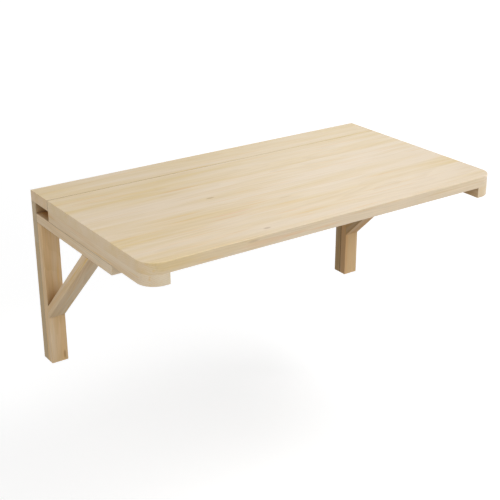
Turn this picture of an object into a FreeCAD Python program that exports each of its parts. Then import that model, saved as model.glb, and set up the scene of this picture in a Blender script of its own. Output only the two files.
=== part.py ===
import FreeCAD, Part
import math
import os

# Wall-mounted folding laptop table in pale pine, in millimetres.
# X runs along the wall, +Y into the wall and +Z up.
# The origin lies on the wall, at the middle of the screw holes in the rail.

# Table top
TABLE_LENGTH = 900.0
TABLE_DEPTH = 500.0
BOARD_THICKNESS = 24.0
LEDGE_DEPTH = 83.0
SEAM_GAP = 1.0
CORNER_RADIUS = 40.0
REAR_STAVE_WIDTH = 102.5
REAR_STAVE_COUNT = 3
BATTEN_WIDTH = 50.0
BATTEN_THICKNESS = 24.0

# Wall frame
RAIL_HEIGHT = 95.0
WALL_STOCK = 21.0
POST_WIDTH = 40.0
POST_LENGTH = 289.0

# Swing brackets
SWING_GAP = 0.5
SWING_POST_THICKNESS = 20.0
ARM_CLEARANCE = 0.3
ARM_HEIGHT = 21.0
ARM_LENGTH = 340.5
BRACE_THICKNESS = 21.0
BRACE_RUN = 194.0
BRACE_RISE = 194.0

# Eased edges of the wood
TOP_ROUND = 1.2
FRAME_ROUND = 1.0

# Wall screw holes, countersunk from the front
WALL_HOLE_RADIUS = 2.75
WALL_SINK_RADIUS = 5.5
RAIL_HOLE_INSET = 130.0
RAIL_HOLE_SPACING_Z = 46.0
POST_HOLE_RISE = 28.0

# Dowels, glued in blind holes with a little room at the ends
DOWEL_RADIUS = 4.0
DOWEL_CHAMFER = 0.8
DOWEL_CLEARANCE = 0.05
DOWEL_END_ROOM = 1.0
LEDGE_DOWEL_DEPTH = 13.0
RAIL_DOWEL_DEPTH = 18.0
POST_DOWEL_DEPTH = 22.0
ARM_DOWEL_DEPTH = 13.0
BRACE_DOWEL_DEPTH = 11.0
SWING_DOWEL_DEPTH = 10.0
BRACE_DOWEL_INSET = 10.0
DOWEL_PAIR_SPACING = 15.0
LEDGE_DOWEL_INSET = 40.0
LEDGE_DOWEL_COUNT = 5

# Leaf hinges, screwed to the undersides across the seam
LEAF_HINGE_INSET = 150.0
LEAF_HINGE_LENGTH = 64.0
LEAF_PLATE_WIDTH = 26.0
LEAF_PLATE_THICKNESS = 2.0
LEAF_KNUCKLE_RADIUS = 4.5
LEAF_PIN_RADIUS = 2.2
LEAF_KNUCKLES = 5

# Bracket hinges, let into the joint between the wall frame and each swing post
BRACKET_HINGE_LENGTH = 38.0
BRACKET_PLATE_WIDTH = 28.0
BRACKET_PLATE_THICKNESS = 1.5
BRACKET_KNUCKLE_RADIUS = 2.2
BRACKET_PIN_RADIUS = 1.1
BRACKET_KNUCKLES = 3
UPPER_HINGE_RISE = 24.0
LOWER_HINGE_DROP = 121.0
MORTISE_CLEARANCE = 0.2

# Every hinge: the plates' rounded outer corners, and running room
PLATE_CORNER_RADIUS = 3.0
PIN_CLEARANCE = 0.05
BARREL_CLEARANCE = 0.3
KNUCKLE_GAP = 0.3
PIN_STANDOUT = 0.8
PIN_CHAMFER = 0.3

# Wood screws: length, shank radius and head radius
LEAF_SCREW_LENGTH = 18.0
LEAF_SCREW_SHANK = 1.75
LEAF_SCREW_HEAD = 3.5
BRACKET_SCREW_LENGTH = 13.0
BRACKET_SCREW_SHANK = 1.25
BRACKET_SCREW_HEAD = 2.5
BATTEN_SCREW_LENGTH = 38.0
BATTEN_SCREW_SHANK = 2.0
BATTEN_SCREW_HEAD = 4.0
SCREW_SINK = 0.2
SCREW_CLEARANCE = 0.05

# Screw places on a hinge plate, as shares of its length and width
LEAF_SCREW_SHARES = ((-0.34, 0.42), (0.0, 0.70), (0.34, 0.42))
BRACKET_SCREW_SHARES = ((-0.34, 0.20), (0.0, 0.70), (0.34, 0.20))

# Every cut runs this far past the face it opens, and edges are found to this closeness
OVERRUN = 2.0
CLOSENESS = 0.001

# Levels and places that follow from the sizes above
HALF_LENGTH = TABLE_LENGTH / 2
RAIL_TOP = RAIL_HEIGHT / 2
RAIL_BOTTOM = -RAIL_TOP
UNDERSIDE = RAIL_TOP
TOP = UNDERSIDE + BOARD_THICKNESS
POST_BOTTOM = RAIL_BOTTOM - POST_LENGTH
LEAF_REAR = -(LEDGE_DEPTH + SEAM_GAP)
LEAF_FRONT = -TABLE_DEPTH
BATTEN_BOTTOM = UNDERSIDE - BATTEN_THICKNESS
ARM_TOP = BATTEN_BOTTOM - ARM_CLEARANCE
ARM_BOTTOM = ARM_TOP - ARM_HEIGHT
SWING_BACK = -(WALL_STOCK + SWING_GAP)
SWING_FRONT = SWING_BACK - SWING_POST_THICKNESS
ARM_FRONT = SWING_BACK - ARM_LENGTH
LEAF_AXIS_Y = -(LEDGE_DEPTH + SEAM_GAP / 2)
LEAF_AXIS_Z = UNDERSIDE - LEAF_KNUCKLE_RADIUS - BARREL_CLEARANCE
SWING_AXIS_X = HALF_LENGTH - POST_WIDTH - BRACKET_KNUCKLE_RADIUS - BARREL_CLEARANCE
SWING_AXIS_Y = -(WALL_STOCK + SWING_GAP / 2)
UPPER_HINGE_Z = RAIL_BOTTOM + UPPER_HINGE_RISE
LOWER_HINGE_Z = RAIL_BOTTOM - LOWER_HINGE_DROP
POST_MIDDLE_X = HALF_LENGTH - POST_WIDTH / 2
RAIL_HOLE_X = HALF_LENGTH - RAIL_HOLE_INSET
LEAF_HINGE_X = HALF_LENGTH - LEAF_HINGE_INSET

X_AXIS = FreeCAD.Vector(1, 0, 0)
Y_AXIS = FreeCAD.Vector(0, 1, 0)
Z_AXIS = FreeCAD.Vector(0, 0, 1)
SIDES = {"left": -1, "right": 1}


# Basic shapes
def point(x, y, z):
    return FreeCAD.Vector(x, y, z)


def box(x0, x1, y0, y1, z0, z1):
    """A box between two opposite corners, given in any order."""
    corner = point(min(x0, x1), min(y0, y1), min(z0, z1))
    return Part.makeBox(abs(x1 - x0), abs(y1 - y0), abs(z1 - z0), corner)


def turned(profile):
    """A solid of revolution about Z from (radius, height) points."""
    corners = [point(radius, 0, height) for radius, height in profile]
    face = Part.Face(Part.makePolygon(corners + corners[:1]))
    return face.revolve(point(0, 0, 0), Z_AXIS, 360)


def aimed(shape, start, direction):
    """A shape built along Z, moved to start and turned towards direction."""
    placed = shape.copy()
    placed.Placement = FreeCAD.Placement(start, FreeCAD.Rotation(Z_AXIS, direction))
    return placed


def in_plane(edge, axis, value):
    """Whether an edge lies wholly where one coordinate has a value."""
    return all(abs(getattr(vertex, axis) - value) < CLOSENESS for vertex in edge.Vertexes)


def runs_along(edge, direction):
    """Whether a straight edge runs along a direction."""
    run = edge.Vertexes[-1].Point - edge.Vertexes[0].Point
    return run.Length > CLOSENESS and math.sin(run.getAngle(direction)) < CLOSENESS


def eased(shape, radius, chosen):
    """A shape with the edges rounded that a test chooses."""
    return shape.makeFillet(radius, [edge for edge in shape.Edges if chosen(edge)])


def cut_all(shape, cutters):
    """A shape with every hole and mortise in a list cut from it."""
    return shape.cut(cutters).removeSplitter() if cutters else shape


# Fasteners, built along Z with the head or first end at zero
def screw(length, shank, head, grow=0.0):
    """A countersunk wood screw, or with grow the hole that takes it."""
    cone = head - shank
    mouth = -OVERRUN if grow else 0
    return turned(
        [
            (0, mouth),
            (head + grow, mouth),
            (head + grow, 0),
            (shank + grow, cone),
            (shank + grow, length - shank),
            (0, length + grow),
        ]
    )


def dowel(length):
    """A wooden dowel with chamfered ends."""
    inner = DOWEL_RADIUS - DOWEL_CHAMFER
    return turned(
        [
            (0, 0),
            (inner, 0),
            (DOWEL_RADIUS, DOWEL_CHAMFER),
            (DOWEL_RADIUS, length - DOWEL_CHAMFER),
            (inner, length),
            (0, length),
        ]
    )


def dowel_joint(seam, direction, back_depth, front_depth):
    """A dowel across a joint at seam, and the hole that takes it in both pieces."""
    solid = aimed(dowel(back_depth + front_depth), seam - direction * back_depth, direction)
    hole_start = seam - direction * (back_depth + DOWEL_END_ROOM)
    hole_length = back_depth + front_depth + DOWEL_END_ROOM + DOWEL_END_ROOM
    hole = Part.makeCylinder(DOWEL_RADIUS + DOWEL_CLEARANCE, hole_length, hole_start, direction)
    return solid, hole


def wall_screw_hole(x, z):
    """A countersunk hole through the wall stock, open at the wall and at the front."""
    front = point(x, -WALL_STOCK, z)
    shaft = Part.makeCylinder(WALL_HOLE_RADIUS, WALL_STOCK + OVERRUN + OVERRUN,
                              point(x, -WALL_STOCK - OVERRUN, z), Y_AXIS)
    sink = Part.makeCone(WALL_SINK_RADIUS, WALL_HOLE_RADIUS, WALL_SINK_RADIUS - WALL_HOLE_RADIUS,
                         front, Y_AXIS)
    return shaft.fuse(sink)


# Hinges, built with the pin along Z and the plate on the -X side, heads facing -Y
class Hinge:
    """The sizes of one pattern of butt hinge and the solids made from them."""

    def __init__(self, length, plate_width, plate_thickness, knuckle, pin, knuckles, plate_low,
                 screw_sizes, screw_shares):
        self.length = length
        self.plate_width = plate_width
        self.plate_thickness = plate_thickness
        self.knuckle = knuckle
        self.pin_radius = pin
        self.knuckles = knuckles
        self.plate_low = plate_low
        self.screw_sizes = screw_sizes
        self.screw_shares = screw_shares
        self.reach = knuckle + BARREL_CLEARANCE
        self.low_end = -length / 2

    def screw_starts(self):
        """Where each screw head lies on the plate's open face."""
        return [
            point(-self.reach - across * self.plate_width, self.plate_low + SCREW_SINK, along * self.length)
            for along, across in self.screw_shares
        ]

    def screws(self, grow=0.0):
        return [aimed(screw(*self.screw_sizes, grow), start, Y_AXIS) for start in self.screw_starts()]

    def far_corners_rounded(self, blank, far, radius):
        """A plate or its pocket with the two corners rounded that lie away from the pin."""
        return eased(blank, radius, lambda edge: in_plane(edge, "X", far) and runs_along(edge, Y_AXIS))

    def plate(self, first):
        """One half: its plate, its own knuckles from first in steps of two, and their tabs."""
        plate_high = self.plate_low + self.plate_thickness
        far = -self.reach - self.plate_width
        half = box(far, -self.reach, self.plate_low, plate_high, self.low_end, -self.low_end)
        half = self.far_corners_rounded(half, far, PLATE_CORNER_RADIUS)
        pitch = self.length / self.knuckles
        for index in range(first, self.knuckles, 2):
            low = self.low_end + index * pitch
            high = low + pitch
            low += KNUCKLE_GAP / 2 if index > 0 else 0
            high -= KNUCKLE_GAP / 2 if index < self.knuckles - 1 else 0
            barrel = Part.makeCylinder(self.knuckle, high - low, point(0, 0, low), Z_AXIS)
            tab = box(-self.reach, 0, self.plate_low, plate_high, low, high)
            half = half.fuse([barrel, tab])
        bore = Part.makeCylinder(self.pin_radius + PIN_CLEARANCE, self.length + OVERRUN + OVERRUN,
                                 point(0, 0, self.low_end - OVERRUN), Z_AXIS)
        return half.cut([bore] + self.screws(SCREW_CLEARANCE)).removeSplitter()

    def pin(self):
        """The pin, standing out a little at both ends."""
        end = -self.low_end + PIN_STANDOUT
        inner = self.pin_radius - PIN_CHAMFER
        return turned(
            [
                (0, -end),
                (inner, -end),
                (self.pin_radius, -end + PIN_CHAMFER),
                (self.pin_radius, end - PIN_CHAMFER),
                (inner, end),
                (0, end),
            ]
        )

    def mortise(self):
        """The pocket that sinks the plate flush into a face of the wood."""
        room = MORTISE_CLEARANCE
        far = -self.reach - self.plate_width - room
        pocket = box(far, OVERRUN, self.plate_low - OVERRUN, self.plate_low + self.plate_thickness,
                     self.low_end - room, -self.low_end + room)
        return self.far_corners_rounded(pocket, far, PLATE_CORNER_RADIUS + room)

    def barrel_groove(self):
        """The groove that clears the barrel where the wood runs past it."""
        room = MORTISE_CLEARANCE + PIN_STANDOUT
        start = point(0, 0, self.low_end - room)
        return Part.makeCylinder(self.reach, self.length + room + room, start, Z_AXIS)


# The leaf hinge lies open: its plates are level, their top faces against the undersides
LEAF_HINGE = Hinge(LEAF_HINGE_LENGTH, LEAF_PLATE_WIDTH, LEAF_PLATE_THICKNESS, LEAF_KNUCKLE_RADIUS,
                   LEAF_PIN_RADIUS, LEAF_KNUCKLES,
                   LEAF_KNUCKLE_RADIUS + BARREL_CLEARANCE - LEAF_PLATE_THICKNESS,
                   (LEAF_SCREW_LENGTH, LEAF_SCREW_SHANK, LEAF_SCREW_HEAD), LEAF_SCREW_SHARES)

# The bracket hinge lies closed: its plates face each other across the swing gap
BRACKET_HINGE = Hinge(BRACKET_HINGE_LENGTH, BRACKET_PLATE_WIDTH, BRACKET_PLATE_THICKNESS,
                      BRACKET_KNUCKLE_RADIUS, BRACKET_PIN_RADIUS, BRACKET_KNUCKLES, SWING_GAP / 2,
                      (BRACKET_SCREW_LENGTH, BRACKET_SCREW_SHANK, BRACKET_SCREW_HEAD), BRACKET_SCREW_SHARES)

LEAF_HINGE_PLACES = {"left": -LEAF_HINGE_X, "middle": 0, "right": LEAF_HINGE_X}
BRACKET_HINGE_LEVELS = {"upper": UPPER_HINGE_Z, "lower": LOWER_HINGE_Z}


def at_leaf_hinge(shape, x, fixed):
    """A hinge shape set under the seam at x: the fixed half towards the wall, the other to the front."""
    placed = shape.copy()
    if fixed:
        placed.rotate(point(0, 0, 0), Y_AXIS, 180)
    placed.rotate(point(0, 0, 0), point(1, 1, 1), 120)
    placed.translate(point(x, LEAF_AXIS_Y, LEAF_AXIS_Z))
    return placed


def at_bracket_hinge(shape, side, z, fixed):
    """A hinge shape set at a post's inner edge: the fixed half in the wall frame, the other in the post."""
    placed = shape.copy()
    if not fixed:
        placed.rotate(point(0, 0, 0), X_AXIS, 180)
    if side > 0:
        placed.rotate(point(0, 0, 0), Y_AXIS, 180)
    placed.translate(point(side * SWING_AXIS_X, SWING_AXIS_Y, z))
    return placed


# Joints between the pieces: each has its dowels and their holes
def ledge_joints():
    first = LEDGE_DOWEL_INSET - HALF_LENGTH
    pitch = -first / (LEDGE_DOWEL_COUNT - 1) * 2
    places = [first + index * pitch for index in range(LEDGE_DOWEL_COUNT)]
    return [
        dowel_joint(point(x, -WALL_STOCK / 2, UNDERSIDE), Z_AXIS, RAIL_DOWEL_DEPTH, LEDGE_DOWEL_DEPTH)
        for x in places
    ]


def pair_about(middle):
    """The two X places of a pair of dowels about a middle line."""
    return [middle - DOWEL_PAIR_SPACING / 2, middle + DOWEL_PAIR_SPACING / 2]


def post_joints(side):
    return [
        dowel_joint(point(x, -WALL_STOCK / 2, RAIL_BOTTOM), Z_AXIS, POST_DOWEL_DEPTH, RAIL_DOWEL_DEPTH)
        for x in pair_about(side * POST_MIDDLE_X)
    ]


def arm_joints(side):
    """Dowels from the swing post's top into the arm that lies on it."""
    middle = SWING_BACK - SWING_POST_THICKNESS / 2
    return [
        dowel_joint(point(x, middle, ARM_BOTTOM), Z_AXIS, POST_DOWEL_DEPTH, ARM_DOWEL_DEPTH)
        for x in pair_about(side * POST_MIDDLE_X)
    ]


def brace_head_joints(side):
    """Dowels from the brace's upper end into the arm."""
    y = SWING_FRONT - BRACE_RUN - BRACE_DOWEL_INSET
    return [
        dowel_joint(point(x, y, ARM_BOTTOM), Z_AXIS, BRACE_DOWEL_DEPTH, ARM_DOWEL_DEPTH)
        for x in pair_about(side * POST_MIDDLE_X)
    ]


def brace_foot_joints(side):
    """Dowels from the brace's lower end into the swing post."""
    z = ARM_BOTTOM - BRACE_RISE - BRACE_DOWEL_INSET
    return [
        dowel_joint(point(x, SWING_FRONT, z), Y_AXIS, BRACE_DOWEL_DEPTH, SWING_DOWEL_DEPTH)
        for x in pair_about(side * POST_MIDDLE_X)
    ]


def dowels_of(joints):
    return [solid for solid, hole in joints]


def holes_of(joints):
    return [hole for solid, hole in joints]


# The table top
def leaf_outline(z):
    """The leaf's plan at a level: square at the seam, rounded at the two front corners."""
    turn = CORNER_RADIUS * (1 - math.cos(math.radians(45)))
    bend = LEAF_FRONT + CORNER_RADIUS
    inner = HALF_LENGTH - CORNER_RADIUS
    edges = [
        Part.makeLine(point(-HALF_LENGTH, LEAF_REAR, z), point(HALF_LENGTH, LEAF_REAR, z)),
        Part.makeLine(point(HALF_LENGTH, LEAF_REAR, z), point(HALF_LENGTH, bend, z)),
        Part.Arc(point(HALF_LENGTH, bend, z), point(HALF_LENGTH - turn, LEAF_FRONT + turn, z),
                 point(inner, LEAF_FRONT, z)).toShape(),
        Part.makeLine(point(inner, LEAF_FRONT, z), point(-inner, LEAF_FRONT, z)),
        Part.Arc(point(-inner, LEAF_FRONT, z), point(-HALF_LENGTH + turn, LEAF_FRONT + turn, z),
                 point(-HALF_LENGTH, bend, z)).toShape(),
        Part.makeLine(point(-HALF_LENGTH, bend, z), point(-HALF_LENGTH, LEAF_REAR, z)),
    ]
    return Part.Face(Part.Wire(edges))


def stave_bounds():
    """The rear and front edge of each stave, from the seam to the front edge."""
    joints = [LEAF_REAR - index * REAR_STAVE_WIDTH for index in range(REAR_STAVE_COUNT + 1)]
    return list(zip(joints, joints[1:] + [LEAF_FRONT]))


def batten_screws(grow=0.0):
    """A screw up through each batten into the middle of each stave."""
    solids = []
    for side in SIDES.values():
        x = side * (HALF_LENGTH - BATTEN_WIDTH / 2)
        for rear, front in stave_bounds():
            start = point(x, (rear + front) / 2, BATTEN_BOTTOM + SCREW_SINK)
            solid = screw(BATTEN_SCREW_LENGTH, BATTEN_SCREW_SHANK, BATTEN_SCREW_HEAD, grow)
            solids.append(aimed(solid, start, Z_AXIS))
    return solids


def leaf_hinge_screws(fixed, grow=0.0):
    return [
        at_leaf_hinge(solid, x, fixed)
        for x in LEAF_HINGE_PLACES.values()
        for solid in LEAF_HINGE.screws(grow)
    ]


def ledge_board():
    board = box(-HALF_LENGTH, HALF_LENGTH, -LEDGE_DEPTH, 0, UNDERSIDE, TOP)
    board = eased(board, TOP_ROUND, lambda edge: in_plane(edge, "Z", TOP))
    return cut_all(board, holes_of(ledge_joints()) + leaf_hinge_screws(True, SCREW_CLEARANCE))


def leaf_staves():
    """The glued-up boards of the leaf, cut from one blank so that the outline runs through."""
    blank = leaf_outline(UNDERSIDE).extrude(point(0, 0, BOARD_THICKNESS))
    blank = eased(blank, TOP_ROUND, lambda edge: in_plane(edge, "Z", TOP))
    holes = leaf_hinge_screws(False, SCREW_CLEARANCE) + batten_screws(SCREW_CLEARANCE)
    blank = cut_all(blank, holes)
    staves = []
    for rear, front in stave_bounds():
        band = box(-HALF_LENGTH, HALF_LENGTH, rear, front, UNDERSIDE, TOP)
        staves.append(blank.common(band))
    return staves


def end_batten(side):
    """A batten under one end of the leaf, following its rounded corner."""
    blank = leaf_outline(BATTEN_BOTTOM).extrude(point(0, 0, BATTEN_THICKNESS))
    strip = box(side * (HALF_LENGTH - BATTEN_WIDTH), side * HALF_LENGTH, LEAF_REAR, LEAF_FRONT,
                BATTEN_BOTTOM, UNDERSIDE)
    batten = blank.common(strip)
    batten = eased(batten, FRAME_ROUND, lambda edge: in_plane(edge, "Z", BATTEN_BOTTOM))
    return cut_all(batten, batten_screws(SCREW_CLEARANCE))


# The wall frame
def post_span(side):
    """The inner and outer face of the posts and of the bracket at one end."""
    return side * (HALF_LENGTH - POST_WIDTH), side * HALF_LENGTH


def bracket_hinge_cuts(side, level, fixed):
    """What one bracket hinge takes out of the wood that carries one of its halves."""
    z = BRACKET_HINGE_LEVELS[level]
    cutters = [BRACKET_HINGE.mortise()] + BRACKET_HINGE.screws(SCREW_CLEARANCE)
    if fixed:
        cutters.append(BRACKET_HINGE.barrel_groove())
    return [at_bracket_hinge(cutter, side, z, fixed) for cutter in cutters]


def wall_rail():
    rail = box(-HALF_LENGTH, HALF_LENGTH, -WALL_STOCK, 0, RAIL_BOTTOM, RAIL_TOP)
    cutters = holes_of(ledge_joints())
    for side in SIDES.values():
        cutters += holes_of(post_joints(side)) + bracket_hinge_cuts(side, "upper", True)
        for level in (-1, 1):
            cutters.append(wall_screw_hole(side * RAIL_HOLE_X, level * RAIL_HOLE_SPACING_Z / 2))
    return cut_all(rail, cutters)


def wall_post(side):
    post = box(*post_span(side), -WALL_STOCK, 0, POST_BOTTOM, RAIL_BOTTOM)
    post = eased(post, FRAME_ROUND, lambda edge: in_plane(edge, "Z", POST_BOTTOM))
    cutters = holes_of(post_joints(side)) + bracket_hinge_cuts(side, "lower", True)
    cutters.append(wall_screw_hole(side * POST_MIDDLE_X, POST_BOTTOM + POST_HOLE_RISE))
    return cut_all(post, cutters)


# The swing brackets
def swing_post(side):
    post = box(*post_span(side), SWING_FRONT, SWING_BACK, POST_BOTTOM, ARM_BOTTOM)
    post = eased(post, FRAME_ROUND, lambda edge: in_plane(edge, "Z", POST_BOTTOM)
                 or in_plane(edge, "Y", SWING_FRONT) and runs_along(edge, Z_AXIS))
    cutters = holes_of(arm_joints(side)) + holes_of(brace_foot_joints(side))
    for level in BRACKET_HINGE_LEVELS:
        cutters += bracket_hinge_cuts(side, level, False)
    return cut_all(post, cutters)


def support_arm(side):
    arm = box(*post_span(side), ARM_FRONT, SWING_BACK, ARM_BOTTOM, ARM_TOP)
    arm = eased(arm, FRAME_ROUND, lambda edge: in_plane(edge, "Y", ARM_FRONT) or runs_along(edge, Y_AXIS))
    return cut_all(arm, holes_of(arm_joints(side)) + holes_of(brace_head_joints(side)))


def diagonal_brace(side):
    """The strut from the swing post's front up to the arm's underside."""
    length = math.hypot(BRACE_RUN, BRACE_RISE)
    head_width = BRACE_THICKNESS * length / BRACE_RISE
    foot_height = BRACE_THICKNESS * length / BRACE_RUN
    x = side * HALF_LENGTH
    head_rear = SWING_FRONT - BRACE_RUN
    foot_top = ARM_BOTTOM - BRACE_RISE
    corners = [
        point(x, head_rear, ARM_BOTTOM),
        point(x, head_rear - head_width, ARM_BOTTOM),
        point(x, SWING_FRONT, foot_top - foot_height),
        point(x, SWING_FRONT, foot_top),
    ]
    face = Part.Face(Part.makePolygon(corners + corners[:1]))
    brace = face.extrude(point(-side * POST_WIDTH, 0, 0))
    grain = point(0, -BRACE_RUN, BRACE_RISE)
    brace = eased(brace, FRAME_ROUND, lambda edge: runs_along(edge, grain))
    return cut_all(brace, holes_of(brace_head_joints(side)) + holes_of(brace_foot_joints(side)))


def all_nodes():
    """Every piece of the table by name. Like fasteners share a name as separate solids."""
    nodes = {"ledge_board": ledge_board(), "wall_rail": wall_rail()}
    for number, stave in enumerate(leaf_staves(), start=1):
        nodes[f"leaf_stave_{number}"] = stave
    nodes["ledge_dowels"] = dowels_of(ledge_joints())
    nodes["batten_screws"] = batten_screws()
    nodes["ledge_hinge_screws"] = leaf_hinge_screws(True)
    nodes["leaf_hinge_screws"] = leaf_hinge_screws(False)
    nodes["leaf_hinge_pins"] = []
    for name, x in LEAF_HINGE_PLACES.items():
        nodes[f"{name}_leaf_hinge_ledge_plate"] = at_leaf_hinge(LEAF_HINGE.plate(0), x, True)
        nodes[f"{name}_leaf_hinge_leaf_plate"] = at_leaf_hinge(LEAF_HINGE.plate(1), x, False)
        nodes["leaf_hinge_pins"].append(at_leaf_hinge(LEAF_HINGE.pin(), x, True))
    nodes["post_dowels"] = []
    nodes["wall_hinge_screws"] = []
    nodes["bracket_hinge_pins"] = []
    for name, side in SIDES.items():
        nodes[f"end_batten_{name}"] = end_batten(side)
        nodes[f"wall_post_{name}"] = wall_post(side)
        nodes[f"swing_post_{name}"] = swing_post(side)
        nodes[f"support_arm_{name}"] = support_arm(side)
        nodes[f"diagonal_brace_{name}"] = diagonal_brace(side)
        joints = arm_joints(side) + brace_head_joints(side) + brace_foot_joints(side)
        nodes[f"bracket_dowels_{name}"] = dowels_of(joints)
        nodes["post_dowels"] += dowels_of(post_joints(side))
        nodes[f"bracket_hinge_screws_{name}"] = []
        for level, z in BRACKET_HINGE_LEVELS.items():
            hinge = f"{name}_{level}_hinge"
            nodes[f"{hinge}_wall_plate"] = at_bracket_hinge(BRACKET_HINGE.plate(0), side, z, True)
            nodes[f"{hinge}_bracket_plate"] = at_bracket_hinge(BRACKET_HINGE.plate(1), side, z, False)
            nodes["bracket_hinge_pins"].append(at_bracket_hinge(BRACKET_HINGE.pin(), side, z, True))
            for solid in BRACKET_HINGE.screws():
                nodes["wall_hinge_screws"].append(at_bracket_hinge(solid, side, z, True))
                nodes[f"bracket_hinge_screws_{name}"].append(at_bracket_hinge(solid, side, z, False))
    return nodes


os.makedirs("parts", exist_ok=True)
for node_name, node_shape in all_nodes().items():
    if isinstance(node_shape, list):
        node_shape = Part.makeCompound(node_shape)
    node_shape.exportStep(f"parts/{node_name}.step")
    bounds = node_shape.BoundBox
    print(f"{node_name}: {len(node_shape.Solids)} solid(s), {node_shape.Volume:.0f} mm3, "
          f"valid {node_shape.isValid()}, z {bounds.ZMin:.1f} to {bounds.ZMax:.1f}")
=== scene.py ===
import math
from collections import namedtuple

import bmesh
import bpy
from mathutils import Matrix, Vector


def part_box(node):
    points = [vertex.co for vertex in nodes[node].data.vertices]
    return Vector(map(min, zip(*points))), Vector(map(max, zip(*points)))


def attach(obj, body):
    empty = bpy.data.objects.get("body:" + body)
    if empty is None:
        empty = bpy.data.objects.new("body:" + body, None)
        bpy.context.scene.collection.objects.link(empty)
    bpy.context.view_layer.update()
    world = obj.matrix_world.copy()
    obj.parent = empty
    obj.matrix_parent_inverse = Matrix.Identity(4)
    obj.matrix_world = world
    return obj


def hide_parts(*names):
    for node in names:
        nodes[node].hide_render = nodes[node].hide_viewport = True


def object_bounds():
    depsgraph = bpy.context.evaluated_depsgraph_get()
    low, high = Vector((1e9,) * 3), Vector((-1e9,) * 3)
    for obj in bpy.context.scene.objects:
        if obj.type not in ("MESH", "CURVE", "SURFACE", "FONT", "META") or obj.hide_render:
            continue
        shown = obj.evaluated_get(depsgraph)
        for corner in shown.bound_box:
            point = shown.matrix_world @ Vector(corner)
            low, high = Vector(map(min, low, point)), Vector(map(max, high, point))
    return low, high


# A wall-mounted folding table in clear pine. Metres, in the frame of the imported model:
# X along the wall, +Y into the wall and +Z up.
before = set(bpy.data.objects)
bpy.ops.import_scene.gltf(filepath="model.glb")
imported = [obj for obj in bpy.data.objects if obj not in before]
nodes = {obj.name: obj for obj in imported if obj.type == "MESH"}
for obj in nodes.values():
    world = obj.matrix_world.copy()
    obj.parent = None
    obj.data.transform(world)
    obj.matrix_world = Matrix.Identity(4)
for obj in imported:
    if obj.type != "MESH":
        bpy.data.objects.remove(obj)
cad_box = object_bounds()

MM = 0.001
X_AXIS = Vector((1, 0, 0))
Y_AXIS = Vector((0, 1, 0))
Z_AXIS = Vector((0, 0, 1))
BRACE_AXIS = Vector((0, -1, 1)).normalized()
FRONT = cad_box[0].y
TOP = cad_box[1].z


# Helpers for places, colours and nodes
def middle(name):
    """The middle of a CAD node's box."""
    low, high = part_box(name)
    return (low + high) / 2


def extent(name, direction):
    """A CAD node's size along a direction, taken from its box."""
    low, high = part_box(name)
    return sum(abs(part * size) for part, size in zip(direction, high - low))


def linear(code):
    """An sRGB hex colour as linear RGBA."""
    parts = [int(code[at:at + 2], 16) / 255 for at in (1, 3, 5)]
    return [c / 12.92 if c <= 0.04045 else ((c + 0.055) / 1.055) ** 2.4 for c in parts] + [1.0]


def add(tree, kind, inputs=None, **settings):
    """A node with its settings. An input takes a value, or a link if it is given the output of
    another node."""
    node = tree.nodes.new(kind)
    for name, value in settings.items():
        setattr(node, name, value)
    for key, value in (inputs or {}).items():
        if isinstance(value, bpy.types.NodeSocket):
            tree.links.new(value, node.inputs[key])
        else:
            node.inputs[key].default_value = value
    return node


def new_material(name):
    """A material with an empty node tree: the material, its tree and its output node."""
    material = bpy.data.materials.new(name)
    material.use_nodes = True
    tree = material.node_tree
    tree.nodes.clear()
    return material, tree, add(tree, "ShaderNodeOutputMaterial")


def dress(name, material):
    """Gives a CAD node one material."""
    slots = nodes[name].data.materials
    slots.clear()
    slots.append(material)


# Sockets by place, where a node has several of one name
MIX_A = 6
MIX_B = 7
MIX_OUT = 2
RANDOM_OUT = 1
FROM_MIN = 1
FROM_MAX = 2
TO_MIN = 3
TO_MAX = 4

# A noise swings about its middle and is mostly between its low and its high
NOISE_LOW = 0.3
NOISE_MIDDLE = (0.5, 0.5, 0.5)
NOISE_HIGH = 0.7

# Clear pine, planed, sanded and brushed with a clear satin lacquer: pale straw and honey bands along
# the grain, with faint rings and fibres in them and a soft sheen
PINE_PALE = "#DDCAAE"
PINE_HONEY = "#D6BD89"
PINE_ROSY = "#D6B486"
PINE_BROWN = "#CDA470"
PINE_UMBER = "#BE9868"
PINE_LATE = "#B08F58"
PINE_RESIN = "#D8B068"
PINE_END = "#D1B58C"
PINE_END_WARM = "#C59F6F"
PINE_END_PALE = "#E6D8BE"
# Greyer, darker pine painted over the pieces at the wall as shade on that side
PINE_WALL_SHADE = "#AF9C7D"
PINE_HAIR = "#B09866"
# Knot and pitch colours, also used for painted shade in the seam, in the joint of the right posts, on
# the right swing post and on the right brace
PINE_KNOT_AND_SHADE = "#8F5F26"
PINE_PITCH_AND_SHADE = "#D6A062"

# Patterns drawn out along the grain: length and width in millimetres, fineness, and the levels of
# noise at which each starts and is full
Pattern = namedtuple("Pattern", "length width detail start full", defaults=(NOISE_LOW, NOISE_HIGH))
WANDER = Pattern(420, 120, 1.0)
RING_PATCHES = Pattern(300, 24, 1.0, 0.35, 0.65)
HEART_BANDS = Pattern(300, 26, 3.0)
RESIN_DASHES = Pattern(150, 5, 1.0, 0.60, 0.74)
HAIRLINES = Pattern(90, 1.7, 2.0, 0.56, 0.72)
FIBRES = Pattern(80, 1.4, 3.0)

# Growth rings: width and wander in millimetres, times drawn out along the grain, unevenness, and the
# share of a ring at which late wood starts. A wave texture of scale 1 repeats at its pitch
RING_WIDTH = 4.0
RING_WANDER = (0, 40, 40)
RING_DRAW = 16.0
RING_WOBBLE = 5.0
RING_WOBBLE_DETAIL = 2.0
RING_WOBBLE_SCALE = 0.5
LATE_START_SHARE = 0.30
WAVE_PITCH = math.pi / 10

# Each board is cut so many millimetres further along the trunk, so that no two are alike
TRUNK_STEP = 2300.0

# Shares of a board's figure, which is how strong its rings are
FAINT_RING_SHARE = 0.3
END_RING_SHARE = 0.8
RESIN_SHARE = 3.0
HAIRLINE_SHARE = 1.4

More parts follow.
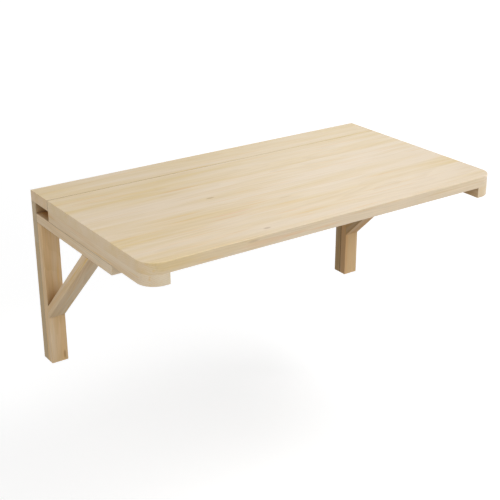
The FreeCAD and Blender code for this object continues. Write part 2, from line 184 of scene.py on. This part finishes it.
# End grain comes in as a face turns towards the grain, and covers a share of the colour
END_START = 0.6
END_FULL = 0.9
END_TONE_SHARE = 0.5

# How far soft bands swing between sapwood and heartwood, how much fibres darken and lighten, and how
# far in from its rim a mark is full
BAND_SWING = 0.56
FIBRE_DARK = 0.95
FIBRE_LIGHT = 1.04
MARK_FULL = 0.6

# Painted shade in deep corners and along joints: how far each reaches, and how open a place is where
# it is full and where it ends
DEEP_REACH = 60 * MM
DEEP_FULL = 0.05
DEEP_END = 0.8
CORNER_SHADE_TINT = (0.50, 0.30, 0.10)
JOINT_SHADE_REACH = 5 * MM
JOINT_SHADE_FULL = 0.35
JOINT_SHADE_END = 0.95
OPENNESS_SAMPLES = 8

# The lacquer, and the relief of the fibres under it
LACQUER_IOR = 1.5
COAT_ROUGHNESS = 0.16
GLOSS_SWING = 0.05
FIBRE_RELIEF = 0.12
FIBRE_HEIGHT = 0.2 * MM


def grain_noise(tree, log, pattern):
    """Noise drawn out along the grain to a pattern's length and width."""
    shrink = (1 / pattern.length, 1 / pattern.width, 1 / pattern.width)
    drawn = add(tree, "ShaderNodeVectorMath", {0: log, 1: shrink}, operation="MULTIPLY")
    return add(tree, "ShaderNodeTexNoise", {
        "Vector": drawn.outputs[0], "Scale": 1.0, "Detail": pattern.detail})


def streaks(tree, log, pattern, low, high):
    """A pattern along the grain that rises from low to high."""
    noise = grain_noise(tree, log, pattern)
    return add(tree, "ShaderNodeMapRange", {
        "Value": noise.outputs["Fac"], FROM_MIN: pattern.start, FROM_MAX: pattern.full,
        TO_MIN: low, TO_MAX: high}).outputs[0]


def late_wood(tree, log, end, figure):
    """The dark part of the growth rings. The trunk wanders, so they run out on the faces in long
    tongues, fainter in patches, and they stand out on end grain."""
    bend = grain_noise(tree, log, WANDER)
    bend = add(tree, "ShaderNodeVectorMath", {0: bend.outputs["Color"], 1: NOISE_MIDDLE},
               operation="SUBTRACT")
    bend = add(tree, "ShaderNodeVectorMath", {0: bend.outputs[0], 1: RING_WANDER, 2: log},
               operation="MULTIPLY_ADD")
    bend = add(tree, "ShaderNodeVectorMath", {0: bend.outputs[0], 1: (1 / RING_DRAW, 1, 1)},
               operation="MULTIPLY")
    rings = add(tree, "ShaderNodeTexWave", {
        "Vector": bend.outputs[0], "Scale": WAVE_PITCH / RING_WIDTH, "Distortion": RING_WOBBLE,
        "Detail": RING_WOBBLE_DETAIL, "Detail Scale": RING_WOBBLE_SCALE},
        wave_type="RINGS", rings_direction="X", wave_profile="SAW")
    late = add(tree, "ShaderNodeMapRange", {
        "Value": rings.outputs["Fac"], FROM_MIN: LATE_START_SHARE, FROM_MAX: 1.0},
        interpolation_type="SMOOTHSTEP")
    shown = streaks(tree, log, RING_PATCHES, FAINT_RING_SHARE * figure, figure)
    shown = add(tree, "ShaderNodeMath", {0: end, 1: END_RING_SHARE * figure, 2: shown},
                operation="MULTIPLY_ADD")
    return add(tree, "ShaderNodeMath", {0: late.outputs[0], 1: shown.outputs[0]},
               operation="MULTIPLY").outputs[0]


def heartwood(tree, log, trunk, piece, board):
    """From sapwood at 0 to heartwood at 1: a slow change over the board with soft bands in it."""
    mean, rise_along, rise_across = board.warmth
    slope = Vector((rise_along / extent(piece, board.grain),
                    rise_across / extent(piece, board.across), 0)) * MM
    level = mean + trunk.dot(slope)
    rise = add(tree, "ShaderNodeVectorMath", {0: log, 1: slope}, operation="DOT_PRODUCT")
    bands = streaks(tree, log, HEART_BANDS, level - BAND_SWING, level + BAND_SWING)
    return add(tree, "ShaderNodeMath", {0: bands, 1: rise.outputs["Value"]}, operation="ADD",
               use_clamp=True).outputs[0]


def mark_shape(tree, place, turn, mark):
    """A mark as an oval along the grain that fades at its rim."""
    spot = add(tree, "ShaderNodeMapping", {
        "Vector": place, "Location": mark.place, "Rotation": turn.to_euler(),
        "Scale": (mark.length * MM, mark.width * MM, mark.width * MM)}, vector_type="TEXTURE")
    spot = add(tree, "ShaderNodeTexGradient", {0: spot.outputs[0]}, gradient_type="SPHERICAL")
    return add(tree, "ShaderNodeMapRange", {
        "Value": spot.outputs["Fac"], FROM_MAX: MARK_FULL, TO_MAX: mark.strength},
        interpolation_type="SMOOTHSTEP").outputs[0]


def corner_shaded(tree, wood):
    """Painted shade in deep corners: the more closed in a place, the warmer and darker the colour."""
    deep = add(tree, "ShaderNodeAmbientOcclusion", {"Distance": DEEP_REACH}, samples=OPENNESS_SAMPLES)
    deep = add(tree, "ShaderNodeMapRange", {
        "Value": deep.outputs["AO"], FROM_MIN: DEEP_FULL, FROM_MAX: DEEP_END, TO_MIN: 1.0, TO_MAX: 0.0},
        interpolation_type="SMOOTHSTEP")
    warmed = add(tree, "ShaderNodeVectorMath", {0: wood, 1: CORNER_SHADE_TINT}, operation="MULTIPLY")
    return add(tree, "ShaderNodeMix", {
        0: deep.outputs[0], MIX_A: wood, MIX_B: warmed.outputs[0]}, data_type="RGBA").outputs[MIX_OUT]


def joint_shaded(tree, wood, log, trunk, piece, board):
    """Painted shade along joints and seams: a soft dark line where the wood is closed in within a few
    millimetres, with its strength at each end of the grain set by the finish.
    """
    start_shade, end_shade = board.finish.dust
    half = extent(piece, board.grain) / MM / 2
    along = add(tree, "ShaderNodeSeparateXYZ", {0: log})
    deepest_level = add(tree, "ShaderNodeMapRange", {
        "Value": along.outputs["X"], FROM_MIN: -trunk.x - half, FROM_MAX: -trunk.x + half,
        TO_MIN: 1 - start_shade, TO_MAX: 1 - end_shade})
    crease = add(tree, "ShaderNodeAmbientOcclusion", {"Distance": JOINT_SHADE_REACH}, samples=OPENNESS_SAMPLES)
    crease = add(tree, "ShaderNodeMapRange", {
        "Value": crease.outputs["AO"], FROM_MIN: JOINT_SHADE_FULL, FROM_MAX: JOINT_SHADE_END,
        TO_MIN: deepest_level.outputs[0]})
    return add(tree, "ShaderNodeVectorMath", {0: wood, "Scale": crease.outputs[0]},
               operation="SCALE").outputs[0]


def pine(piece, number, board, marks):
    """One board of pine, cut from growth rings about its own pith, with its own marks and finish."""
    finish = board.finish
    material, tree, output = new_material("lacquered_pine_" + piece)
    coords = add(tree, "ShaderNodeTexCoord").outputs
    turn = Matrix((board.grain, board.across, board.grain.cross(board.across))).transposed()
    trunk = Vector((number * TRUNK_STEP, *board.pith))
    log = add(tree, "ShaderNodeMapping", {
        "Vector": coords["Object"], "Location": middle(piece) + turn @ trunk * MM,
        "Rotation": turn.to_euler(), "Scale": (MM, MM, MM)}, vector_type="TEXTURE").outputs[0]

    # End grain has its own tone, and its rings stand out
    facing = add(tree, "ShaderNodeVectorMath", {0: coords["Normal"], 1: board.grain},
                 operation="DOT_PRODUCT")
    facing = add(tree, "ShaderNodeMath", {0: facing.outputs["Value"]}, operation="ABSOLUTE")
    end = add(tree, "ShaderNodeMapRange", {
        "Value": facing.outputs[0], FROM_MIN: END_START, FROM_MAX: END_FULL}).outputs[0]
    end_tone = add(tree, "ShaderNodeMath", {0: end, 1: END_TONE_SHARE}, operation="MULTIPLY")

    # Colours from the sapwood up, each over those before it: heartwood, rings, sparse dashes of resin,
    # hairlines of resin ducts and darker fibres, marks (some of them painted shade), end grain and
    # painted shade at the wall
    layers = [
        (heartwood(tree, log, trunk, piece, board), finish.heart),
        (late_wood(tree, log, end, finish.figure), PINE_LATE),
        (streaks(tree, log, RESIN_DASHES, 0.0, RESIN_SHARE * finish.figure), PINE_RESIN),
        (streaks(tree, log, HAIRLINES, 0.0, HAIRLINE_SHARE * finish.figure), PINE_HAIR),
        *((mark_shape(tree, coords["Object"], turn, mark), mark.colour) for mark in marks),
        (end_tone.outputs[0], finish.end_grain),
        (finish.grey, PINE_WALL_SHADE),
    ]
    wood = linear(PINE_PALE)
    for strength, colour in layers:
        wood = add(tree, "ShaderNodeMix", {
            0: strength, MIX_A: wood, MIX_B: linear(colour)}, data_type="RGBA").outputs[MIX_OUT]

    # Fibres about a millimetre wide, drawn coarser than real ones so that they show
    fibre = grain_noise(tree, log, FIBRES).outputs["Fac"]
    fleck = add(tree, "ShaderNodeMapRange", {
        "Value": fibre, FROM_MIN: FIBRES.start, FROM_MAX: FIBRES.full,
        TO_MIN: FIBRE_DARK, TO_MAX: FIBRE_LIGHT})
    wood = add(tree, "ShaderNodeVectorMath", {0: wood, "Scale": fleck.outputs[0]}, operation="SCALE")
    # Painted shade in deep corners and along joints
    wood = joint_shaded(tree, corner_shaded(tree, wood.outputs[0]), log, trunk, piece, board)

    gloss = add(tree, "ShaderNodeMapRange", {
        "Value": fibre, FROM_MIN: FIBRES.start, FROM_MAX: FIBRES.full,
        TO_MIN: finish.roughness - GLOSS_SWING, TO_MAX: finish.roughness + GLOSS_SWING})
    bump = add(tree, "ShaderNodeBump", {
        "Height": fibre, "Strength": FIBRE_RELIEF, "Distance": FIBRE_HEIGHT})
    shader = add(tree, "ShaderNodeBsdfPrincipled", {
        "Base Color": wood, "Roughness": gloss.outputs[0], "Normal": bump.outputs[0],
        "IOR": LACQUER_IOR, "Specular IOR Level": finish.specular,
        "Coat Weight": finish.coat, "Coat Roughness": COAT_ROUGHNESS})
    tree.links.new(shader.outputs[0], output.inputs["Surface"])
    return material


# How each kind of board is finished: colours of heartwood and end grain, figure, roughness, specular
# level, clear coat, painted shade of the side at the wall, and painted shade along the joints at the
# start and the end of the grain
Finish = namedtuple("Finish", "heart end_grain figure roughness specular coat grey dust")
# Painted shade along the joints: even, fading out along the ledge's seam, and deeper
JOINT_SHADE = (0.45, 0.45)
SEAM_SHADE = (0.95, 0.0)
DEEP_JOINT_SHADE = (0.85, 0.85)
TOP_FINISH = Finish(heart=PINE_HONEY, end_grain=PINE_END, figure=0.14, roughness=0.40, specular=0.45,
                    coat=0.08, grey=0.0, dust=JOINT_SHADE)
LEDGE_FINISH = TOP_FINISH._replace(end_grain=PINE_END_WARM, dust=SEAM_SHADE)
FRAME_FINISH = Finish(heart=PINE_ROSY, end_grain=PINE_END_PALE, figure=0.24, roughness=0.58,
                      specular=0.3, coat=0.0, grey=0.0, dust=JOINT_SHADE)
# The pieces at the wall, with painted shade of that side
WALL_FINISH = FRAME_FINISH._replace(roughness=0.62, grey=0.7)
# Darker, browner copies of the frame finish, as painted shade: for the right brace and the right wall
# post, in the shade under the top
SHADED_BRACE_FINISH = FRAME_FINISH._replace(heart=PINE_BROWN, figure=0.26)
SHADED_WALL_POST_FINISH = FRAME_FINISH._replace(heart=PINE_UMBER, figure=0.26, roughness=0.62, grey=0.3,
                                     dust=DEEP_JOINT_SHADE)

# The boards: grain, direction across, and the pith across and through the board from its middle in
# millimetres. Warmth is 0 in pale sapwood and 1 in heartwood: in the middle of the board, and how much
# it rises along the grain and across
Board = namedtuple("Board", "grain across pith warmth finish")
BOARDS = {
    "ledge_board": Board(X_AXIS, Y_AXIS, (24, -85), (0.55, 0.5, 0.1), LEDGE_FINISH),
    "leaf_stave_1": Board(X_AXIS, Y_AXIS, (-18, -70), (0.57, -0.12, 0), TOP_FINISH),
    "leaf_stave_2": Board(X_AXIS, Y_AXIS, (30, -90), (0.2, -0.1, 0.3), TOP_FINISH),
    "leaf_stave_3": Board(X_AXIS, Y_AXIS, (-35, -75), (0.33, -0.12, -0.45), TOP_FINISH),
    "leaf_stave_4": Board(X_AXIS, Y_AXIS, (15, -95), (0.15, -0.45, 0), TOP_FINISH),
    "end_batten_left": Board(Y_AXIS, X_AXIS, (-40, 55), (0.4, 1.0, 0), FRAME_FINISH),
    # Its warmth falls across the grain as painted light and shade: warmer and darker on the inner face
    # in the shade under the top, paler on the outer face in the light from the right
    "end_batten_right": Board(Y_AXIS, X_AXIS, (40, 55), (0.45, 0.2, -0.9), FRAME_FINISH),
    "support_arm_left": Board(Y_AXIS, X_AXIS, (25, 60), (0.15, 0.3, 0), FRAME_FINISH),
    "support_arm_right": Board(Y_AXIS, X_AXIS, (-25, 60), (0.5, 0, 0), FRAME_FINISH),
    "swing_post_left": Board(Z_AXIS, X_AXIS, (12, 70), (0.9, 0, 0), FRAME_FINISH),
    "swing_post_right": Board(Z_AXIS, X_AXIS, (-14, 75), (0.9, 0, 0), FRAME_FINISH),
    "diagonal_brace_left": Board(BRACE_AXIS, X_AXIS, (18, 70), (0.45, 0, 0), FRAME_FINISH),
    "diagonal_brace_right": Board(BRACE_AXIS, X_AXIS, (-20, 70), (0.9, 0, 0), SHADED_BRACE_FINISH),
    "wall_rail": Board(X_AXIS, Z_AXIS, (20, 60), (0.9, 0, 0), WALL_FINISH),
    "wall_post_left": Board(Z_AXIS, X_AXIS, (15, 60), (0.9, 0, 0), WALL_FINISH),
    "wall_post_right": Board(Z_AXIS, X_AXIS, (-15, 65), (0.9, 0, 0), SHADED_WALL_POST_FINISH),
}

# Marks on the boards: tight knots and streaks of pitch, and painted shade: the seam's shadow, the
# shadow in the joint of the right posts, warm shade on the right swing post and shade on the right
# brace. Each has its place, half its length and half its width in millimetres, its colour and its
# strength
Mark = namedtuple("Mark", "place length width colour strength")
MARKS = {
    # Painted shadow of the seam, dark over the left part and fading out towards the right
    "ledge_board": [Mark((-0.45, -0.083, TOP), 700, 1.2, PINE_KNOT_AND_SHADE, 0.4)],
    "leaf_stave_1": [Mark((-0.185, -0.183, TOP), 60, 6, PINE_PITCH_AND_SHADE, 0.3)],
    "leaf_stave_2": [Mark((-0.1616, -0.2664, TOP), 13, 4, PINE_KNOT_AND_SHADE, 0.5)],
    "leaf_stave_3": [Mark((-0.173, -0.3668, TOP), 75, 4, PINE_PITCH_AND_SHADE, 0.4),
                     Mark((-0.184, -0.3831, TOP), 70, 3, PINE_PITCH_AND_SHADE, 0.3),
                     Mark((-0.029, -0.3509, TOP), 22, 3, PINE_KNOT_AND_SHADE, 0.2)],
    "leaf_stave_4": [Mark((-0.1622, -0.473, TOP), 11, 5, PINE_KNOT_AND_SHADE, 0.4),
                     Mark((-0.214, FRONT, 0.065), 18, 3, PINE_KNOT_AND_SHADE, 0.25),
                     Mark((-0.182, FRONT, 0.0575), 75, 8, PINE_PITCH_AND_SHADE, 0.22),
                     Mark((-0.112, FRONT, 0.0585), 40, 4, PINE_PITCH_AND_SHADE, 0.25),
                     Mark((-0.04, FRONT, 0.056), 55, 3, PINE_PITCH_AND_SHADE, 0.2)],
    "swing_post_left": [Mark((-0.418, -0.0415, -0.321), 14, 4, PINE_KNOT_AND_SHADE, 0.5)],
    # Warm painted shade over the left face under the top, and the painted shadow in the joint with the
    # wall post
    "swing_post_right": [Mark((0.408, -0.033, -0.17), 400, 18, PINE_PITCH_AND_SHADE, 0.55),
                         Mark((0.41, -0.0215, -0.17), 400, 2, PINE_KNOT_AND_SHADE, 0.8)],
    # Painted shadow in the joint with the swing post
    "wall_post_right": [Mark((0.41, -0.021, -0.17), 400, 2, PINE_KNOT_AND_SHADE, 0.8)],
    # Painted shade on the brace under the top
    "diagonal_brace_right": [Mark((0.43, -0.09, -0.173), 200, 30, PINE_KNOT_AND_SHADE, 0.25)],
}
for number, (piece, board) in enumerate(BOARDS.items()):
    dress(piece, pine(piece, number, board, MARKS.get(piece, ())))

# Beech dowels, turned and left raw: matt pinkish tan with short dark flecks
BEECH_TAN = "#D9B48C"
BEECH_DARK = "#B98A5E"
BEECH_ROUGHNESS = 0.6
FLECK_SIZE = 1.5 * MM
FLECK_DETAIL = 3.0
FLECK_START = 0.45
FLECK_FULL = 0.7

# Zinc-plated steel, pressed for the hinges and turned for the screws: a bright skin with a faint
# cloudy bloom
PLATE_ZINC = "#C6C8C9"
PLATE_ROUGHNESS = 0.36
SCREW_ZINC = "#CDCDC8"
SCREW_ROUGHNESS = 0.30
BLOOM_SIZE = 4 * MM
BLOOM_DETAIL = 4.0
BLOOM_SWING = 0.07


def beech(name):
    """Raw beech with its flecks."""
    material, tree, output = new_material(name)
    coords = add(tree, "ShaderNodeTexCoord")
    fleck = add(tree, "ShaderNodeTexNoise", {
        "Vector": coords.outputs["Object"], "Scale": 1 / FLECK_SIZE, "Detail": FLECK_DETAIL})
    fleck = add(tree, "ShaderNodeMapRange", {
        "Value": fleck.outputs["Fac"], FROM_MIN: FLECK_START, FROM_MAX: FLECK_FULL})
    wood = add(tree, "ShaderNodeMix", {
        0: fleck.outputs[0], MIX_A: linear(BEECH_TAN), MIX_B: linear(BEECH_DARK)}, data_type="RGBA")
    shader = add(tree, "ShaderNodeBsdfPrincipled", {
        "Base Color": wood.outputs[MIX_OUT], "Roughness": BEECH_ROUGHNESS})
    tree.links.new(shader.outputs[0], output.inputs["Surface"])
    return material


def zinc(name, colour, roughness):
    """Zinc plating, rougher and smoother in its bloom."""
    material, tree, output = new_material(name)
    coords = add(tree, "ShaderNodeTexCoord")
    bloom = add(tree, "ShaderNodeTexNoise", {
        "Vector": coords.outputs["Object"], "Scale": 1 / BLOOM_SIZE, "Detail": BLOOM_DETAIL})
    gloss = add(tree, "ShaderNodeMapRange", {
        "Value": bloom.outputs["Fac"], FROM_MIN: NOISE_LOW, FROM_MAX: NOISE_HIGH,
        TO_MIN: roughness - BLOOM_SWING, TO_MAX: roughness + BLOOM_SWING})
    shader = add(tree, "ShaderNodeBsdfPrincipled", {
        "Base Color": linear(colour), "Metallic": 1.0, "Roughness": gloss.outputs[0]})
    tree.links.new(shader.outputs[0], output.inputs["Surface"])
    return material


steel_plate = zinc("zinc_plated_hinge_steel", PLATE_ZINC, PLATE_ROUGHNESS)
steel_screw = zinc("zinc_plated_screw_steel", SCREW_ZINC, SCREW_ROUGHNESS)
dowel_wood = beech("beech_dowel")
for name in nodes:
    if "dowels" in name:
        dress(name, dowel_wood)
    elif name.endswith(("_plate", "_pins")):
        dress(name, steel_plate)

# Screws: each CAD screw gives its place, its aim and its sizes to a countersunk cross-head screw. The
# cross recess is sized in shares of the head's radius
SCREW_BODIES = {
    "ledge_hinge_screws": "wall_frame",
    "wall_hinge_screws": "wall_frame",
    "leaf_hinge_screws": "leaf",
    "batten_screws": "leaf",
    "bracket_hinge_screws_left": "left_bracket",
    "bracket_hinge_screws_right": "right_bracket",
}
SCREW_RINGS = 24
SCREW_SIDES = 20
TIP_RADIUS = 0.1 * MM
RECESS_SPAN_SHARE = 1.1
RECESS_WIDTH_SHARE = 0.24
RECESS_DEPTH_SHARE = 0.5
SCREW_SEED = 7
SAME_POINT = 0.01 * MM


def islands(mesh):
    """The corner points of each separate solid in a CAD node."""
    form = bmesh.new()
    form.from_mesh(mesh)
    bmesh.ops.remove_doubles(form, verts=form.verts, dist=SAME_POINT)
    unseen = set(form.verts)
    groups = []
    for start in form.verts:
        if start in unseen:
            unseen.remove(start)
            reached = [start]
            for vertex in reached:
                near = {edge.other_vert(vertex) for edge in vertex.link_edges} & unseen
                unseen -= near
                reached.extend(near)
            groups.append([vertex.co.copy() for vertex in reached])
    form.free()
    return groups


def measured_screw(points):
    """A CAD screw's head place and aim, with its head radius, shank radius and length."""
    low = Vector(min(point[axis] for point in points) for axis in range(3))
    high = Vector(max(point[axis] for point in points) for axis in range(3))
    axis = max(range(3), key=lambda index: high[index] - low[index])
    centre = (low + high) / 2
    length = high[axis] - low[axis]
    spans = []
    for point in points:
        out = point - centre
        level = out[axis]
        out[axis] = 0
        spans.append((out.length, level))
    head, head_level = max(spans)
    aim = Vector((0, 0, 0))
    aim[axis] = -1 if head_level > 0 else 1
    shank = max(span for span, level in spans if level * aim[axis] > 0)
    return centre - aim * length / 2, aim, (head, shank, length)


def screw_tree():
    """Geometry Nodes: a turned screw with a cross recess, set on every point and turned by chance."""
    tree = bpy.data.node_groups.new("cross_head_screws", "GeometryNodeTree")
    inputs = {"Places": "Geometry", "Head Radius": "Float", "Shank Radius": "Float", "Length": "Float",
              "Aim": "Vector", "Steel": "Material"}
    for name, kind in inputs.items():
        tree.interface.new_socket(name, in_out="INPUT", socket_type="NodeSocket" + kind)
    tree.interface.new_socket("Screws", in_out="OUTPUT", socket_type="NodeSocketGeometry")
    given = add(tree, "NodeGroupInput").outputs
    head = given["Head Radius"]

    # A line down the screw's middle, as thick at each height as the head, the shank or the point
    tip = add(tree, "ShaderNodeCombineXYZ", {"Z": given["Length"]})
    line = add(tree, "GeometryNodeCurvePrimitiveLine", {"Start": (0, 0, 0), "End": tip.outputs[0]})
    line = add(tree, "GeometryNodeResampleCurve", {"Curve": line.outputs[0], "Count": SCREW_RINGS})
    position = add(tree, "GeometryNodeInputPosition")
    height = add(tree, "ShaderNodeSeparateXYZ", {0: position.outputs[0]}).outputs["Z"]
    cone = add(tree, "ShaderNodeMath", {0: head, 1: height}, operation="SUBTRACT")
    thick = add(tree, "ShaderNodeMath", {0: cone.outputs[0], 1: given["Shank Radius"]},
                operation="MAXIMUM")
    point = add(tree, "ShaderNodeMath", {0: given["Length"], 1: height}, operation="SUBTRACT")
    point = add(tree, "ShaderNodeMath", {0: point.outputs[0], 1: TIP_RADIUS}, operation="MAXIMUM")
    thick = add(tree, "ShaderNodeMath", {0: thick.outputs[0], 1: point.outputs[0]},
                operation="MINIMUM")
    ring = add(tree, "GeometryNodeCurvePrimitiveCircle", {"Resolution": SCREW_SIDES, "Radius": 1.0})
    body = add(tree, "GeometryNodeCurveToMesh", {
        "Curve": line.outputs[0], "Profile Curve": ring.outputs[0], "Scale": thick.outputs[0],
        "Fill Caps": True})

    # The cross recess: two crossed bars cut out of the head
    bars = []
    for long_axis, short_axis in (("X", "Y"), ("Y", "X")):
        shares = {long_axis: RECESS_SPAN_SHARE, short_axis: RECESS_WIDTH_SHARE,
                  "Z": 2 * RECESS_DEPTH_SHARE}
        size = add(tree, "ShaderNodeCombineXYZ")
        for axis, share in shares.items():
            part = add(tree, "ShaderNodeMath", {0: head, 1: share}, operation="MULTIPLY")
            tree.links.new(part.outputs[0], size.inputs[axis])
        bars.append(add(tree, "GeometryNodeMeshCube", {"Size": size.outputs[0]}))
    body = add(tree, "GeometryNodeMeshBoolean", {"Mesh 1": body.outputs[0]}, operation="DIFFERENCE",
               solver="EXACT")
    for bar in bars:
        tree.links.new(bar.outputs[0], body.inputs["Mesh 2"])

    # One on every point, aimed into the wood
    aim = add(tree, "FunctionNodeAlignRotationToVector", {"Vector": given["Aim"]}, axis="Z")
    chance = add(tree, "FunctionNodeRandomValue", {"Seed": SCREW_SEED}, data_type="FLOAT")
    angle = add(tree, "ShaderNodeMath", {0: chance.outputs[RANDOM_OUT], 1: math.tau},
                operation="MULTIPLY")
    spin = add(tree, "FunctionNodeAxisAngleToRotation", {
        "Axis": (0, 0, 1), "Angle": angle.outputs[0]})
    turn = add(tree, "FunctionNodeRotateRotation", {
        "Rotation": aim.outputs[0], "Rotate By": spin.outputs[0]}, rotation_space="LOCAL")
    placed = add(tree, "GeometryNodeInstanceOnPoints", {
        "Points": given["Places"], "Instance": body.outputs[0], "Rotation": turn.outputs[0]})
    solid = add(tree, "GeometryNodeRealizeInstances", {0: placed.outputs[0]})
    solid = add(tree, "GeometryNodeSetMaterial", {
        "Geometry": solid.outputs[0], "Material": given["Steel"]})
    add(tree, "NodeGroupOutput", {"Screws": solid.outputs[0]})
    return tree


def make_screws(node, body, tree):
    """The screws of one CAD node as one plain mesh, which rides on their body in place of the node."""
    found = [measured_screw(points) for points in islands(nodes[node].data)]
    heads = [head for head, aim, sizes in found]
    aim, sizes = found[0][1:]
    seeds = bpy.data.meshes.new(node + "_places")
    seeds.from_pydata(heads, [], [])
    piece = bpy.data.objects.new(node + "_dressed", seeds)
    bpy.context.scene.collection.objects.link(piece)
    modifier = piece.modifiers.new("screws", "NODES")
    modifier.node_group = tree
    values = dict(zip(("Head Radius", "Shank Radius", "Length"), sizes))
    values.update({"Aim": aim, "Steel": steel_screw})
    for item in tree.interface.items_tree:
        if item.name in values:
            modifier[item.identifier] = values[item.name]
    evaluated = piece.evaluated_get(bpy.context.evaluated_depsgraph_get())
    shape = bpy.data.meshes.new_from_object(evaluated)
    piece.modifiers.remove(modifier)
    piece.data = shape
    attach(piece, body)
    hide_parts(node)


screw_group = screw_tree()
for node, body in SCREW_BODIES.items():
    make_screws(node, body, screw_group)

# Camera, fitted to the straight edges of the photograph
IMAGE_SIDE = 500
FOCAL_PIXELS = 1051.72
SENSOR_WIDTH = 36.0
CAMERA_PLACE = Vector((-1.2863, -2.0225, 0.8371))
CAMERA_YAW = math.radians(34.95)
CAMERA_DIP = math.radians(23.0)
camera = bpy.data.objects.new("camera", bpy.data.cameras.new("camera"))
camera.data.sensor_width = SENSOR_WIDTH
camera.data.lens = SENSOR_WIDTH * FOCAL_PIXELS / IMAGE_SIDE
camera.location = CAMERA_PLACE
camera.rotation_euler = (math.pi / 2 - CAMERA_DIP, 0, -CAMERA_YAW)
bpy.context.scene.collection.objects.link(camera)
bpy.context.scene.camera = camera

# Soft studio light: place, aim, width, height and power of each softbox. All are aimed at the table
# but the hanging panel, which faces down and shows as a sheen on the right half of the top
TABLE = (0, -0.25, 0)
BELOW_PANEL = (2.55, 2.6, 0)
SOFTBOXES = {
    "key_softbox": ((1.0, -1.3, 2.6), TABLE, 1.4, 1.4, 53),
    "left_softbox": ((-2.4, -0.6, 1.9), TABLE, 1.8, 1.8, 10.5),
    "low_left_softbox": ((-2.4, -1.0, 0.5), TABLE, 1.4, 1.0, 14.5),
    "front_softbox": ((0.3, -3.4, 0.3), TABLE, 2.4, 1.4, 17),
    "front_left_softbox": ((-1.9, -2.3, 2.4), TABLE, 1.8, 1.8, 19),
    "front_right_softbox": ((1.5, -1.6, 0.1), TABLE, 1.6, 0.9, 7),
    "right_end_softbox": ((2.4, -0.3, -0.15), TABLE, 1.2, 0.44, 4),
    "hanging_panel": ((2.55, 2.6, 1.3), BELOW_PANEL, 1.5, 1.6, 15.5),
}
for name, (place, aim, width, height, power) in SOFTBOXES.items():
    lamp = bpy.data.lights.new(name, "AREA")
    lamp.shape = "RECTANGLE"
    lamp.size = width
    lamp.size_y = height
    lamp.energy = power
    box = bpy.data.objects.new(name, lamp)
    box.location = place
    box.rotation_euler = (Vector(aim) - Vector(place)).to_track_quat("-Z", "Y").to_euler()
    bpy.context.scene.collection.objects.link(box)


def seen_directly(tree):
    """1 for what the camera sees directly, by reflection or through glass, and 0 for what lights the
    scene."""
    path = add(tree, "ShaderNodeLightPath")
    seen = add(tree, "ShaderNodeMath", {
        0: path.outputs["Is Camera Ray"], 1: path.outputs["Is Glossy Ray"]}, operation="MAXIMUM")
    return add(tree, "ShaderNodeMath", {
        0: seen.outputs[0], 1: path.outputs["Is Transmission Ray"]}, operation="MAXIMUM").outputs[0]


# White surroundings, which fill the shadows with a share of what is seen of them
WHITE = "#FFFFFF"
FILL_SHARE = 0.2
world = bpy.data.worlds.new("white_studio")
bpy.context.scene.world = world
world.use_nodes = True
around = world.node_tree
around.nodes.clear()
level = add(around, "ShaderNodeMapRange", {"Value": seen_directly(around), TO_MIN: FILL_SHARE})
sky = add(around, "ShaderNodeBackground", {"Color": linear(WHITE), "Strength": level.outputs[0]})
add(around, "ShaderNodeOutputWorld", {"Surface": sky.outputs[0]})

# A pale matt floor, as far below the top as a table is high. It keeps the table's shadow, and where it
# is seen directly it is lifted towards white, more so with the distance from the table
TABLE_HEIGHT = 0.74
FLOOR_REACH = 30.0
FLOOR_GREY = "#B4B4B4"
LIFT_NEAR = 0.70
LIFT_FAR = 0.96
LIFT_FROM = 1.0
LIFT_TO = 5.0


def matt_floor(name):
    """Matt floor paint with its lift."""
    material, tree, output = new_material(name)
    coords = add(tree, "ShaderNodeTexCoord")
    reach = add(tree, "ShaderNodeVectorMath", {0: coords.outputs["Object"]}, operation="LENGTH")
    lift = add(tree, "ShaderNodeMapRange", {
        "Value": reach.outputs["Value"], FROM_MIN: LIFT_FROM, FROM_MAX: LIFT_TO,
        TO_MIN: LIFT_NEAR, TO_MAX: LIFT_FAR})
    lift = add(tree, "ShaderNodeMath", {0: seen_directly(tree), 1: lift.outputs[0]},
               operation="MULTIPLY")
    glow = add(tree, "ShaderNodeEmission", {"Strength": lift.outputs[0]})
    paint = add(tree, "ShaderNodeBsdfDiffuse", {"Color": linear(FLOOR_GREY)})
    both = add(tree, "ShaderNodeAddShader", {0: paint.outputs[0], 1: glow.outputs[0]})
    tree.links.new(both.outputs[0], output.inputs["Surface"])
    return material


floor_mesh = bpy.data.meshes.new("floor")
sheet = bmesh.new()
bmesh.ops.create_grid(sheet, x_segments=1, y_segments=1, size=FLOOR_REACH)
sheet.to_mesh(floor_mesh)
sheet.free()
floor_mesh.materials.append(matt_floor("pale_matt_floor"))
floor = bpy.data.objects.new("floor", floor_mesh)
floor.location.z = TOP - TABLE_HEIGHT
bpy.context.scene.collection.objects.link(floor)

bpy.context.scene.view_settings.view_transform = "Standard"
